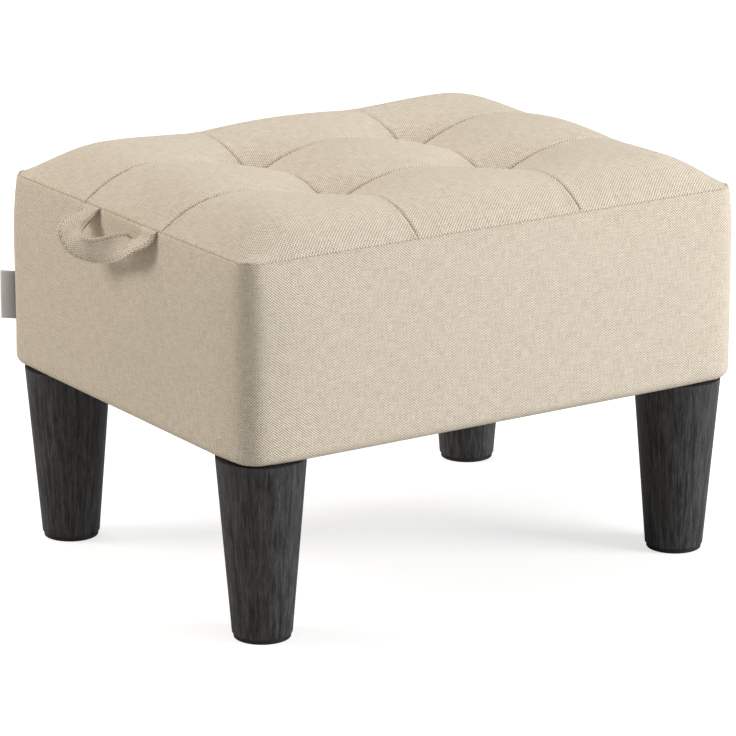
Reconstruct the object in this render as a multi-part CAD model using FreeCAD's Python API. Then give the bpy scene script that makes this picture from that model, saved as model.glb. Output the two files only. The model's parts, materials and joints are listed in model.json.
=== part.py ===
import FreeCAD, Part
import os
from math import asin, cos, radians, sin, sqrt

# Upholstered footstool with a tufted top, a carrying strap and four screw-in legs.
# Millimetres, +Z up, long side along X, strap on the -X side, z = 0 on the floor.

# Upholstered box, measured over the cloth
body_length = 400.0
body_width = 316.0
body_corner_radius = 18.0
body_side_height = 135.0
bottom_edge_radius = 8.0
draw_in = 3.5
draw_in_height = 46.0

# Layers of the upholstery
cloth_thickness = 1.2
hem_width = 16.0
side_padding_thickness = 5.0
dust_cover_thickness = 0.5
dust_cover_inset = 14.0
soft_gap = 0.3

# Sewn panels of the top: seam and crest places, and heights above the perimeter seam
column_seam_x = 65.0
row_seam_y = 50.0
column_crest_x = 140.0
row_crest_y = 110.0
corner_crown = 22.5
long_edge_crown = 22.5
short_edge_crown = 25.0
centre_crown = 25.0
column_seam_outer_rise = 18.7
column_seam_centre_rise = 12.5
row_seam_outer_rise = 20.8
row_seam_centre_rise = 18.5
tuft_depth = 3.0
least_arc_rise = 0.05
edge_slope_overrun = 1.0
corner_crest_share = 0.25

# Steps between the sections of the lofted top, alike within each stretch
middle_steps = 4
outer_steps = 4
corner_steps = 5

# Wooden box
panel_thickness = 12.0
wall_height = 82.0
bottom_panel_chamfer = 3.0
corner_post_size = 28.0
corner_post_lift = 9.0

# Wood screws
screw_radius = 2.0
screw_head_radius = 4.0
screw_head_depth = 2.5
screw_hole_clearance = 0.1
wall_screw_length = 30.0
wall_screw_inset = 19.5
wall_screw_heights = (30.0, 60.0)
wall_screw_stagger = 10.0
deck_screw_length = 35.0
base_screw_length = 40.0
base_screw_x = 90.0
base_screw_y = 60.0

# Legs, their hanger bolts and tee nuts
leg_length = 120.5
leg_top_radius = 30.0
leg_bottom_radius = 20.0
leg_bottom_rounding = 1.2
leg_inset = 31.0
bolt_radius = 4.0
bolt_tip_chamfer = 1.0
bolt_above_leg = 20.0
bolt_in_leg = 30.0
bolt_running_clearance = 0.05
bolt_hole_clearance = 1.0
tee_nut_barrel_radius = 5.2
tee_nut_barrel_length = 9.0
tee_nut_flange_radius = 10.0
tee_nut_flange_thickness = 1.5
tee_nut_fit_clearance = 0.1

# Nailed glides under the legs
glide_thickness = 3.0
glide_radius = 19.0
glide_rounding = 0.8
nail_radius = 1.0
nail_length = 14.0
nail_head_radius = 3.0
nail_head_thickness = 0.8
nail_head_recess = 0.6
nail_clearance = 0.05

# Tuft ties through the foam and the deck
twine_radius = 0.9
twine_hole_clearance = 0.4
deck_tie_hole_radius = 3.0
knot_radius = 2.4
anchor_radius = 11.0
anchor_thickness = 3.0
anchor_rounding = 1.0

# Staples under the box
staple_width = 10.0
staple_wire = 0.6
staple_leg_length = 8.0
cover_staple_inset = 21.0
dust_staple_inset = 17.0
staple_pitch = 30.0
staple_free_corner = 75.0

# The two back corner seams of the side cloth, in degrees round the corner
corner_seam_angle = 45.0

# Bare folded label in the back left corner seam
label_height = 34.0
label_bottom = 155.0
label_reach = 11.0
label_thickness = 0.5
label_fold_radius = 0.8
label_gap = 0.15

# Carrying strap, sewn in at two places: how far its loop stands out, spreads and hangs down
strap_width = 19.0
strap_thickness = 2.2
strap_axis_offset = 1.6
strap_reach = 22.4
strap_half_span = 38.5
strap_drop = 20.4

# Stations of the strap: the centre of its width outward, along and below the seam, as shares of
# those three sizes, then the direction of its width there in the same three directions
strap_route = (
    ((0.0, -0.935, 0.0), (0.0, -1.0, 0.0)),
    ((0.054, -0.935, 0.221), (0.0, -1.0, 0.0)),
    ((0.196, -0.896, 0.407), (0.15, -0.97, 0.1)),
    ((0.344, -0.753, 0.549), (0.5, -0.8, 0.3)),
    ((0.442, -0.532, 0.637), (0.35, -0.35, 0.85)),
    ((0.554, -0.234, 0.843), (-0.1, -0.1, 1.0)),
    ((0.732, 0.078, 1.0), (-0.35, 0.0, 0.94)),
    ((0.924, 0.338, 0.99), (-0.2, 0.2, 0.95)),
    ((1.0, 0.61, 0.814), (0.4, 0.5, 0.75)),
    ((0.844, 0.844, 0.529), (0.74, 0.64, 0.1)),
    ((0.442, 0.974, 0.324), (0.35, 0.93, -0.05)),
    ((0.134, 1.0, 0.225), (0.0, 1.0, 0.0)),
    ((0.0, 1.0, 0.0), (0.0, 1.0, 0.0)),
)

# Levels worked out from the sizes above
leg_top_z = glide_thickness + leg_length
underside_z = leg_top_z + dust_cover_thickness
seam_z = underside_z + body_side_height
hem_top_z = underside_z + cloth_thickness
base_bottom_z = hem_top_z + soft_gap
wall_bottom_z = base_bottom_z + panel_thickness
deck_bottom_z = wall_bottom_z + wall_height
deck_top_z = deck_bottom_z + panel_thickness
draw_start_z = seam_z - draw_in_height

# Plan sizes worked out from the sizes above
half_length = body_length / 2
half_width = body_width / 2
corner_x = half_length - body_corner_radius
corner_y = half_width - body_corner_radius
box_inset = cloth_thickness + soft_gap + side_padding_thickness
box_x = half_length - box_inset
box_y = half_width - box_inset
box_radius = body_corner_radius - box_inset
wall_inner_x = box_x - panel_thickness
wall_inner_y = box_y - panel_thickness
seam_x = half_length - draw_in
seam_y = half_width - draw_in
leg_x = half_length - leg_inset
leg_y = half_width - leg_inset
draw_radius = (draw_in_height ** 2 + draw_in ** 2) / (2 * draw_in)

side_signs = {"front": -1, "back": 1}
end_signs = {"left": -1, "right": 1}
corners = {
    f"{side}_{end}": (end_sign, side_sign)
    for side, side_sign in side_signs.items()
    for end, end_sign in end_signs.items()
}


def vector(x, y, z):
    return FreeCAD.Vector(x, y, z)


up = vector(0, 0, 1)


def cylinder(radius, height, x, y, z):
    return Part.makeCylinder(radius, height, vector(x, y, z))


def face_of(edges):
    return Part.Face(Part.Wire(edges))


def line(start, end):
    return Part.LineSegment(start, end).toShape()


def arc(start, middle, end):
    return Part.Arc(start, middle, end).toShape()


def polygon_face(points):
    return Part.Face(Part.makePolygon(points + points[:1]))


def rounded_plate(half_x, half_y, radius, z, thickness):
    """A flat plate with rounded corners."""
    slab = Part.makeBox(2 * half_x, 2 * half_y, thickness, vector(-half_x, -half_y, z))
    upright = [edge for edge in slab.Edges if abs(edge.tangentAt(edge.FirstParameter).z) > 0.5]
    return slab.makeFillet(radius, upright)


# Rim profiles are drawn in the XZ plane, where x is the distance out from a corner's centre.
right, back, left, front = range(4)
rim_centres = ((corner_x, -corner_y), (corner_x, corner_y), (-corner_x, corner_y), (-corner_x, -corner_y))


def placed_profile(profile, quarter_turns, centre, extra_angle=0.0):
    face = profile.copy()
    face.rotate(vector(0, 0, 0), up, 90 * quarter_turns + extra_angle)
    face.translate(vector(centre[0], centre[1], 0))
    return face


def rim_side(profile, side):
    """The straight stretch of a rim along one side."""
    start = rim_centres[side]
    end = rim_centres[(side + 1) % 4]
    return placed_profile(profile, side, start).extrude(vector(end[0] - start[0], end[1] - start[1], 0))


def rim_corner(profile, side, first_angle=0.0, last_angle=90.0):
    """The corner that follows a side, or the stretch of it between two angles."""
    centre = rim_centres[(side + 1) % 4]
    face = placed_profile(profile, side, centre, first_angle)
    return face.revolve(vector(centre[0], centre[1], 0), up, last_angle - first_angle)


def joined(solids):
    return solids[0].multiFuse(solids[1:]).removeSplitter()


def whole_rim(profile):
    pieces = []
    for side in range(4):
        pieces += [rim_side(profile, side), rim_corner(profile, side)]
    return joined(pieces)


def barrel_arc(inset):
    """Upper part of the side, drawn in towards the perimeter seam, at a depth inside the cloth."""
    radius = draw_radius - inset
    centre_s = body_corner_radius - draw_radius
    top_angle = asin(draw_in_height / radius)

    def point(angle):
        return vector(centre_s + radius * cos(angle), 0, draw_start_z + radius * sin(angle))

    return point(0), point(top_angle / 2), point(top_angle)


def rounded_bottom_arc(inset):
    """Turn from the side into the underside, at a depth inside the cloth."""
    radius = bottom_edge_radius - inset
    centre_s = body_corner_radius - bottom_edge_radius
    centre_z = underside_z + bottom_edge_radius

    def point(angle):
        return vector(centre_s + radius * cos(radians(angle)), 0, centre_z + radius * sin(radians(angle)))

    return point(-90), point(-45), point(0)


def cover_side_profile():
    """The cloth of the side, from the turn under the box up to the perimeter seam."""
    outer_bottom = rounded_bottom_arc(0)
    outer_top = barrel_arc(0)
    inner_bottom = rounded_bottom_arc(cloth_thickness)
    inner_top = barrel_arc(cloth_thickness)
    return face_of([
        arc(*outer_bottom),
        line(outer_bottom[2], outer_top[0]),
        arc(*outer_top),
        line(outer_top[2], inner_top[2]),
        arc(*reversed(inner_top)),
        line(inner_top[0], inner_bottom[2]),
        arc(*reversed(inner_bottom)),
        line(inner_bottom[0], outer_bottom[0]),
    ])


def make_hem():
    """The edge of the side cloth, turned in flat under the box, with mitred inner corners."""
    outer_x = half_length - bottom_edge_radius
    outer_y = half_width - bottom_edge_radius
    plate = rounded_plate(outer_x, outer_y, body_corner_radius - bottom_edge_radius,
                          underside_z, cloth_thickness)
    inner_x = outer_x - hem_width
    inner_y = outer_y - hem_width
    opening = Part.makeBox(2 * inner_x, 2 * inner_y, cloth_thickness, vector(-inner_x, -inner_y, underside_z))
    return plate.cut(opening)


def back_hem_area():
    """The part of the hem between the two back corner seams, which run on at 45 degrees."""
    reach = body_corner_radius
    depth = hem_width + bottom_edge_radius
    outline = polygon_face([
        vector(-corner_x - reach, corner_y + reach, underside_z),
        vector(corner_x + reach, corner_y + reach, underside_z),
        vector(corner_x - depth, corner_y - depth, underside_z),
        vector(-corner_x + depth, corner_y - depth, underside_z),
    ])
    return outline.extrude(vector(0, 0, cloth_thickness))


def side_padding_profile():
    """Foam strip between the wooden walls and the cloth."""
    inner_s = body_corner_radius - box_inset
    outer_s = inner_s + side_padding_thickness
    low_z = underside_z + bottom_edge_radius
    high_z = deck_top_z - soft_gap
    high_s = outer_s - crown_drop(high_z - draw_start_z, draw_in_height, draw_in) - soft_gap
    return polygon_face([
        vector(inner_s, 0, low_z),
        vector(outer_s, 0, low_z),
        vector(outer_s, 0, draw_start_z),
        vector(high_s, 0, high_z),
        vector(inner_s, 0, high_z),
    ])


def crown_drop(distance, span, rise):
    """How far an arc that falls by rise over span has fallen at a distance from its crest."""
    rise = max(rise, least_arc_rise)
    radius = (span ** 2 + rise ** 2) / (2 * rise)
    return radius - sqrt(radius ** 2 - min(distance, span) ** 2)


def along_x(x, edge_x, edge_height, outer_crest, seam_height, centre_crest):
    """Height at x of a line along the stool that rises from the edge and dips at the column seam."""
    x = abs(x)
    if x <= column_seam_x:
        return centre_crest - crown_drop(x, column_seam_x, centre_crest - seam_height)
    if x <= column_crest_x:
        span = column_crest_x - column_seam_x
        return outer_crest - crown_drop(column_crest_x - x, span, outer_crest - seam_height)
    return outer_crest - crown_drop(x - column_crest_x, edge_x - column_crest_x, outer_crest - edge_height)


def pillow_arc(crest_y, crest_z, end_y, end_z):
    """One side of a pillow: an arc that is level at its crest."""
    middle_y = (crest_y + end_y) / 2
    drop = crown_drop(abs(middle_y - crest_y), abs(end_y - crest_y), crest_z - end_z)
    return (middle_y, crest_z - drop)


def tufted_section(x, half_y, edge_x, edge_z, lowered, floor_z):
    """Closed section of the tufted top at x: a flat floor, two sides and six arcs."""

    def height(outer_crest, seam_height, centre_crest):
        base_z = seam_z - lowered
        rise = along_x(x, edge_x, edge_z - base_z, outer_crest, seam_height, centre_crest)
        return base_z + rise

    outer_z = height(corner_crown, column_seam_outer_rise, long_edge_crown)
    centre_z = height(short_edge_crown, column_seam_centre_rise, centre_crown)
    row_z = height(row_seam_outer_rise, -tuft_depth, row_seam_centre_rise)
    outer_z = max(outer_z, row_z + least_arc_rise, edge_z + least_arc_rise)
    centre_z = max(centre_z, row_z + least_arc_rise)
    crest_y = min(row_crest_y, half_y - (seam_y - row_crest_y) * corner_crest_share)
    stops = [(-half_y, edge_z), (-crest_y, outer_z), (-row_seam_y, row_z), (0, centre_z)]
    stops += [(-y, z) for y, z in reversed(stops[:-1])]
    points = [vector(x, y, z) for y, z in stops]
    middles = []
    for first, second in zip(stops, stops[1:]):
        crest, end = (first, second) if first[1] >= second[1] else (second, first)
        middles.append(vector(x, *pillow_arc(*crest, *end)))
    floor_start = vector(x, -half_y, floor_z)
    floor_end = vector(x, half_y, floor_z)
    edges = [line(floor_end, floor_start), line(floor_start, points[0])]
    edges += [arc(first, middle, second) for first, middle, second in zip(points, middles, points[1:])]
    edges.append(line(points[-1], floor_end))
    return Part.Wire(edges)


def tufted_form(inset, lowered, floor_z):
    """The cushion's shape as a solid, inside the seam line by inset and lowered by a thickness."""
    edge_x = seam_x - inset
    edge_y = seam_y - inset
    edge_z = seam_z - lowered + min(inset, 0) * edge_slope_overrun
    radius = body_corner_radius - draw_in - inset
    middle_step = 2 * column_seam_x / middle_steps
    outer_step = (corner_x - column_seam_x) / outer_steps
    middle_stations = [(step * middle_step - column_seam_x, edge_y) for step in range(middle_steps + 1)]
    outer_stations = [(column_seam_x + step * outer_step, edge_y) for step in range(outer_steps + 1)]
    corner_stations = []
    for step in range(corner_steps + 1):
        turned = radians(90 * step / corner_steps)
        corner_stations.append((corner_x + radius * sin(turned), corner_y + radius * cos(turned)))

    def lofted(stations):
        sections = [tufted_section(x, y, edge_x, edge_z, lowered, floor_z) for x, y in stations]
        return Part.makeLoft(sections, True, False)

    right = [lofted(outer_stations), lofted(corner_stations)]
    left = [solid.mirror(vector(0, 0, 0), vector(1, 0, 0)) for solid in right]
    return lofted(middle_stations).multiFuse(right + left)


def make_cover_top():
    """Top cloth: nine sewn pillows and four tufts, open underneath, ending at the perimeter seam."""
    skirt = tuft_depth + 2 * cloth_thickness
    outer = tufted_form(-edge_slope_overrun, 0, seam_z - skirt)
    inner = tufted_form(cloth_thickness, cloth_thickness, seam_z - 2 * skirt)
    trim_z = seam_z - 3 * skirt
    below_seam = Part.makeBox(2 * body_length, 2 * body_width, seam_z - trim_z,
                              vector(-body_length, -body_width, trim_z))
    # The tufts dip below the perimeter seam, so the trim leaves the middle of the top alone
    tufted_area = Part.makeBox(2 * column_crest_x, 2 * row_crest_y, seam_z - trim_z,
                               vector(-column_crest_x, -row_crest_y, trim_z))
    return outer.cut(inner).cut(below_seam.cut(tufted_area))


def leg_places():
    for name, (sign_x, sign_y) in corners.items():
        yield name, sign_x * leg_x, sign_y * leg_y


def tuft_places():
    for sign_x, sign_y in corners.values():
        yield sign_x * column_seam_x, sign_y * row_seam_y


def screw(head, direction, length):
    """A countersunk wood screw whose head is flush at a point."""
    cone = Part.makeCone(screw_head_radius, screw_radius, screw_head_depth, head, direction)
    return cone.fuse(Part.makeCylinder(screw_radius, length, head, direction))


def screw_hole(head, direction, length):
    gap = screw_hole_clearance
    cone = Part.makeCone(screw_head_radius + gap, screw_radius + gap, screw_head_depth, head, direction)
    return cone.fuse(Part.makeCylinder(screw_radius + gap, length + gap, head, direction))


def wall_screw_places():
    """Screws through the four walls into the corner posts."""
    for sign_x, sign_y in corners.values():
        for height in wall_screw_heights:
            post_x = sign_x * (wall_inner_x - wall_screw_inset)
            post_y = sign_y * (wall_inner_y - wall_screw_inset)
            side_head = vector(post_x, sign_y * box_y, wall_bottom_z + height)
            end_head = vector(sign_x * box_x, post_y, wall_bottom_z + height - wall_screw_stagger)
            yield side_head, vector(0, -sign_y, 0), wall_screw_length
            yield end_head, vector(-sign_x, 0, 0), wall_screw_length


def deck_screw_places():
    """Screws down through the deck into the corner posts."""
    for sign_x, sign_y in corners.values():
        post_x = sign_x * (wall_inner_x - corner_post_size / 2)
        post_y = sign_y * (wall_inner_y - corner_post_size / 2)
        yield vector(post_x, post_y, deck_top_z), vector(0, 0, -1), deck_screw_length


def base_screw_places():
    """Screws up through the bottom panel into the edges of the walls."""
    wall_middle_x = box_x - panel_thickness / 2
    wall_middle_y = box_y - panel_thickness / 2
    for sign_x, sign_y in corners.values():
        yield vector(sign_x * base_screw_x, sign_y * wall_middle_y, base_bottom_z), up, base_screw_length
        yield vector(sign_x * wall_middle_x, sign_y * base_screw_y, base_bottom_z), up, base_screw_length


def make_screws(places):
    return Part.makeCompound([screw(*place) for place in places])


def drilled(board, places):
    return board.cut([screw_hole(*place) for place in places])


def make_bottom_board():
    board = rounded_plate(box_x, box_y, box_radius, base_bottom_z, panel_thickness)
    lower_rim = [edge for edge in board.Edges if abs(edge.BoundBox.ZMax - base_bottom_z) < 0.01]
    board = board.makeChamfer(bottom_panel_chamfer, lower_rim)
    hole_radius = tee_nut_barrel_radius + tee_nut_fit_clearance
    holes = [cylinder(hole_radius, panel_thickness, x, y, base_bottom_z) for _, x, y in leg_places()]
    return drilled(board.cut(holes), base_screw_places())


def make_wall(half_x, half_y, centre_x, centre_y):
    """One wall of the box, rounded off where it reaches the box's corners."""
    outline = rounded_plate(box_x, box_y, box_radius, wall_bottom_z, wall_height)
    slab = Part.makeBox(2 * half_x, 2 * half_y, wall_height,
                        vector(centre_x - half_x, centre_y - half_y, wall_bottom_z))
    places = list(wall_screw_places()) + list(base_screw_places())
    return drilled(slab.common(outline), places)


def make_corner_post(sign_x, sign_y):
    size = corner_post_size
    low_z = wall_bottom_z + corner_post_lift
    low_x = wall_inner_x - size if sign_x > 0 else -wall_inner_x
    low_y = wall_inner_y - size if sign_y > 0 else -wall_inner_y
    post = Part.makeBox(size, size, deck_bottom_z - low_z, vector(low_x, low_y, low_z))
    return drilled(post, list(wall_screw_places()) + list(deck_screw_places()))


def make_deck_board():
    board = rounded_plate(box_x, box_y, box_radius, deck_bottom_z, panel_thickness)
    holes = [cylinder(deck_tie_hole_radius, panel_thickness, x, y, deck_bottom_z) for x, y in tuft_places()]
    return drilled(board.cut(holes), deck_screw_places())


def make_seat_foam():
    inset = cloth_thickness + soft_gap
    foam = tufted_form(inset, inset, deck_top_z)
    radius = twine_radius + twine_hole_clearance
    height = seam_z - deck_top_z
    return foam.cut([cylinder(radius, height, x, y, deck_top_z) for x, y in tuft_places()])


def make_tuft_twines():
    """One tie for each tuft, from the underside of its pit to a knot below the anchor."""
    top_z = seam_z - tuft_depth - cloth_thickness - soft_gap
    knot_z = deck_bottom_z - anchor_thickness - knot_radius
    ties = []
    for x, y in tuft_places():
        knot = Part.makeSphere(knot_radius, vector(x, y, knot_z))
        ties.append(knot.fuse(cylinder(twine_radius, top_z - knot_z, x, y, knot_z)))
    return Part.makeCompound(ties)


def make_anchor_buttons():
    low_z = deck_bottom_z - anchor_thickness
    buttons = []
    for x, y in tuft_places():
        disc = cylinder(anchor_radius, anchor_thickness, x, y, low_z)
        lower_rim = [edge for edge in disc.Edges if abs(edge.BoundBox.ZMax - low_z) < 0.01]
        disc = disc.makeFillet(anchor_rounding, lower_rim)
        hole = cylinder(twine_radius + twine_hole_clearance, anchor_thickness, x, y, low_z)
        buttons.append(disc.cut(hole))
    return Part.makeCompound(buttons)


def make_tee_nuts():
    nuts = []
    for _, x, y in leg_places():
        barrel_z = wall_bottom_z - tee_nut_barrel_length
        barrel = cylinder(tee_nut_barrel_radius, tee_nut_barrel_length, x, y, barrel_z)
        flange = cylinder(tee_nut_flange_radius, tee_nut_flange_thickness, x, y, wall_bottom_z)
        height = tee_nut_barrel_length + tee_nut_flange_thickness
        bore = cylinder(bolt_radius + bolt_running_clearance, height, x, y, barrel_z)
        nuts.append(barrel.fuse(flange).cut(bore))
    return Part.makeCompound(nuts)


def bolt_clearance_holes():
    """Room for the hanger bolts where they pass up through the covering of the underside."""
    radius = bolt_radius + bolt_hole_clearance
    height = base_bottom_z - leg_top_z
    return [cylinder(radius, height, x, y, leg_top_z) for _, x, y in leg_places()]


def make_leg(x, y):
    taper = Part.makeCone(leg_bottom_radius, leg_top_radius, leg_length, vector(x, y, glide_thickness))
    foot_rim = [edge for edge in taper.Edges
                if edge.BoundBox.ZMax < glide_thickness + 0.01
                and edge.BoundBox.DiagonalLength > leg_bottom_radius]
    leg = taper.makeFillet(leg_bottom_rounding, foot_rim)
    bore = cylinder(bolt_radius + bolt_running_clearance, bolt_in_leg, x, y, leg_top_z - bolt_in_leg)
    nail_hole = cylinder(nail_radius + nail_clearance, nail_length, x, y, glide_thickness)
    return leg.cut([bore, nail_hole])


def make_hanger_bolt(x, y):
    length = bolt_in_leg + bolt_above_leg
    shank = cylinder(bolt_radius, length, x, y, leg_top_z - bolt_in_leg)
    ends = [edge for edge in shank.Edges if edge.BoundBox.ZLength < 0.01]
    return shank.makeChamfer(bolt_tip_chamfer, ends)


def make_glide(x, y):
    disc = cylinder(glide_radius, glide_thickness, x, y, 0)
    rim = [edge for edge in disc.Edges if edge.BoundBox.ZMax < 0.01]
    disc = disc.makeFillet(glide_rounding, rim)
    shank_hole = cylinder(nail_radius + nail_clearance, glide_thickness, x, y, 0)
    recess_depth = nail_head_recess + nail_head_thickness
    recess = cylinder(nail_head_radius + nail_clearance, recess_depth, x, y, 0)
    return disc.cut([shank_hole, recess])


def make_glide_nail(x, y):
    head = cylinder(nail_head_radius, nail_head_thickness, x, y, nail_head_recess)
    shank_length = glide_thickness + nail_length - nail_head_recess - nail_clearance
    shank = cylinder(nail_radius, shank_length, x, y, nail_head_recess)
    return head.fuse(shank)


def staple(x, y, along_x_axis, crown_z):
    """A wire staple with its legs up, its crown lying along X or along Y."""
    wide = staple_width / 2
    thin = staple_wire
    size_x, size_y = (wide, thin) if along_x_axis else (thin, wide)
    crown = Part.makeBox(2 * size_x, 2 * size_y, thin, vector(x - size_x, y - size_y, crown_z))
    wires = [crown]
    for sign in (-1, 1):
        leg_x0 = x + sign * (size_x - thin / 2) if along_x_axis else x
        leg_y0 = y if along_x_axis else y + sign * (size_y - thin / 2)
        half_leg_x = thin / 2 if along_x_axis else thin
        half_leg_y = thin if along_x_axis else thin / 2
        wires.append(Part.makeBox(2 * half_leg_x, 2 * half_leg_y, staple_leg_length,
                                  vector(leg_x0 - half_leg_x, leg_y0 - half_leg_y, crown_z)))
    return wires[0].multiFuse(wires[1:]).removeSplitter()


def evenly_spaced(half_span, pitch):
    count = int(2 * half_span // pitch) + 1
    first = -(count - 1) * pitch / 2
    return [first + step * pitch for step in range(count)]


def make_staples(inset, crown_z):
    """A row of staples along each side of the underside, clear of the legs."""
    line_x = half_length - inset
    line_y = half_width - inset
    staples = []
    for sign in (-1, 1):
        for x in evenly_spaced(half_length - staple_free_corner, staple_pitch):
            staples.append(staple(x, sign * line_y, True, crown_z))
        for y in evenly_spaced(half_width - staple_free_corner, staple_pitch):
            staples.append(staple(sign * line_x, y, False, crown_z))
    return Part.makeCompound(staples)


def make_side_label():
    """A strip of satin folded on itself, standing out of the corner seam along its bisector."""
    root = body_corner_radius + label_gap
    fold_s = root + label_reach - label_fold_radius
    outer = label_fold_radius
    inner = label_fold_radius - label_thickness
    profile = face_of([
        line(vector(root, -outer, 0), vector(fold_s, -outer, 0)),
        arc(vector(fold_s, -outer, 0), vector(fold_s + outer, 0, 0), vector(fold_s, outer, 0)),
        line(vector(fold_s, outer, 0), vector(root, outer, 0)),
        line(vector(root, outer, 0), vector(root, inner, 0)),
        line(vector(root, inner, 0), vector(fold_s, inner, 0)),
        arc(vector(fold_s, inner, 0), vector(fold_s + inner, 0, 0), vector(fold_s, -inner, 0)),
        line(vector(fold_s, -inner, 0), vector(root, -inner, 0)),
        line(vector(root, -inner, 0), vector(root, -outer, 0)),
    ])
    label = profile.extrude(vector(0, 0, label_height))
    label.rotate(vector(0, 0, 0), up, 90 * back + corner_seam_angle)
    label.translate(vector(-corner_x, corner_y, label_bottom))
    return label


def strap_point(place):
    out, along, below = place
    return vector(
        -seam_x - strap_axis_offset - out * strap_reach,
        along * strap_half_span,
        seam_z - below * strap_drop,
    )


def strap_section(centre, width_direction, travel):
    """Rectangle of the folded band at one station of its route."""
    out, along, below = width_direction
    width = vector(-out, along, -below).normalize() * (strap_width / 2)
    thick = travel.cross(width).normalize() * (strap_thickness / 2)
    outline = [centre - width - thick, centre + width - thick, centre + width + thick, centre - width + thick]
    return Part.makePolygon(outline + outline[:1])


def make_carry_strap():
    """Both ends hang from the perimeter seam, and the band between them stands out as a loop."""
    centres = [strap_point(place) for place, _ in strap_route]
    last = len(centres) - 1
    sections = []
    for index, (_, width_direction) in enumerate(strap_route):
        travel = centres[min(index + 1, last)] - centres[max(index - 1, 0)]
        sections.append(strap_section(centres[index], width_direction, travel))
    return Part.makeLoft(sections, True, True)


os.makedirs("parts", exist_ok=True)

# The whole stool, strap included, is centred on the origin
carry_strap = make_carry_strap()
centre_shift = -(carry_strap.BoundBox.XMin + half_length) / 2


def save(node, shape):
    placed = shape.copy()
    placed.translate(vector(centre_shift, 0, 0))
    placed.exportStep(f"parts/{node}.step")


save("bottom_board", make_bottom_board())
save("deck_board", make_deck_board())
for side, sign in side_signs.items():
    save(f"{side}_board", make_wall(box_x, panel_thickness / 2, 0, sign * (box_y - panel_thickness / 2)))
for end, sign in end_signs.items():
    save(f"{end}_board", make_wall(panel_thickness / 2, wall_inner_y, sign * (box_x - panel_thickness / 2), 0))
for name, (sign_x, sign_y) in corners.items():
    save(f"corner_post_{name}", make_corner_post(sign_x, sign_y))
save("wall_screws", make_screws(wall_screw_places()))
save("deck_screws", make_screws(deck_screw_places()))
save("base_screws", make_screws(base_screw_places()))
save("tee_nuts", make_tee_nuts())

for name, x, y in leg_places():
    save(f"leg_{name}", make_leg(x, y))
    save(f"hanger_bolt_{name}", make_hanger_bolt(x, y))
    save(f"foot_glide_{name}", make_glide(x, y))
    save(f"glide_nail_{name}", make_glide_nail(x, y))

save("seat_foam", make_seat_foam())
save("side_padding", whole_rim(side_padding_profile()))
save("tuft_twines", make_tuft_twines())
save("anchor_buttons", make_anchor_buttons())

# The side cloth is one long band with a separate back panel, seamed at the two back corners
cloth = cover_side_profile()
hem = make_hem()
band = joined([
    hem.cut(back_hem_area()),
    rim_corner(cloth, back, corner_seam_angle, 90),
    rim_side(cloth, left),
    rim_corner(cloth, left),
    rim_side(cloth, front),
    rim_corner(cloth, front),
    rim_side(cloth, right),
    rim_corner(cloth, right, 0, corner_seam_angle),
])
back_panel = joined([
    hem.common(back_hem_area()),
    rim_corner(cloth, right, corner_seam_angle, 90),
    rim_side(cloth, back),
    rim_corner(cloth, back, 0, corner_seam_angle),
])
save("cover_side_band", band.cut(bolt_clearance_holes()))
save("cover_back_panel", back_panel.cut(bolt_clearance_holes()))
save("cover_top", make_cover_top())
save("side_label", make_side_label())
save("carry_strap", carry_strap)

dust_cover = rounded_plate(
    half_length - dust_cover_inset,
    half_width - dust_cover_inset,
    body_corner_radius - dust_cover_inset,
    leg_top_z,
    dust_cover_thickness,
)
save("dust_cover", dust_cover.cut(bolt_clearance_holes()))
save("cover_staples", make_staples(cover_staple_inset, underside_z))
save("dust_cover_staples", make_staples(dust_staple_inset, leg_top_z - staple_wire))
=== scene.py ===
import json
from math import ceil, cos, exp, pi, radians, sin, sqrt

import bmesh
import bpy
from mathutils import Matrix, Vector, noise


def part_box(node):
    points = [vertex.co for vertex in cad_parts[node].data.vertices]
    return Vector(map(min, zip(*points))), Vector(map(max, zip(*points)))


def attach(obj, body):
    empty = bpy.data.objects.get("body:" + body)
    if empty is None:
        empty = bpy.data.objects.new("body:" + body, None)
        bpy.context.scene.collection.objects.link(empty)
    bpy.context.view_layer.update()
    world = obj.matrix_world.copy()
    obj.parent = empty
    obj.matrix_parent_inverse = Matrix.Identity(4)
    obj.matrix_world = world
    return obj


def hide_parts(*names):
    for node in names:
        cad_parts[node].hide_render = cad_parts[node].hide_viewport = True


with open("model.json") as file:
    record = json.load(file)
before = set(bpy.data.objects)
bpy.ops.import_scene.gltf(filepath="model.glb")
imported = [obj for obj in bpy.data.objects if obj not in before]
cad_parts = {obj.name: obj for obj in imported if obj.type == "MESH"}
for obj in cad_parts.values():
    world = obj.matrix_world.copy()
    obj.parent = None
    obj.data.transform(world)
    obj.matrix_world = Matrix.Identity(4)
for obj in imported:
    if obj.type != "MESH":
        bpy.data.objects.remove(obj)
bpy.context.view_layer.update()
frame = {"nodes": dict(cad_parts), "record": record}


# Camera
# A long lens from the front left, a little above the seat, as in the photograph.
# Its place is measured from the middle of the upholstered box, on the floor.
cover_low, cover_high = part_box("cover_side_band")
centre_x = (cover_low[0] + cover_high[0]) / 2
camera_from_centre = (-1.5314, -2.3236, 0.9277)
camera_pitch = 73.91
camera_turn = -33.343
camera_lens = 204.48

camera_data = bpy.data.cameras.new("camera")
camera_data.lens = camera_lens
camera_data.sensor_width = 36.0
camera_data.clip_end = 50.0
camera = bpy.data.objects.new("camera", camera_data)
camera.location = (centre_x + camera_from_centre[0], camera_from_centre[1], camera_from_centre[2])
camera.rotation_euler = (radians(camera_pitch), 0.0, radians(camera_turn))
bpy.context.scene.collection.objects.link(camera)
bpy.context.scene.camera = camera
bpy.context.scene.view_settings.view_transform = "Standard"


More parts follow.
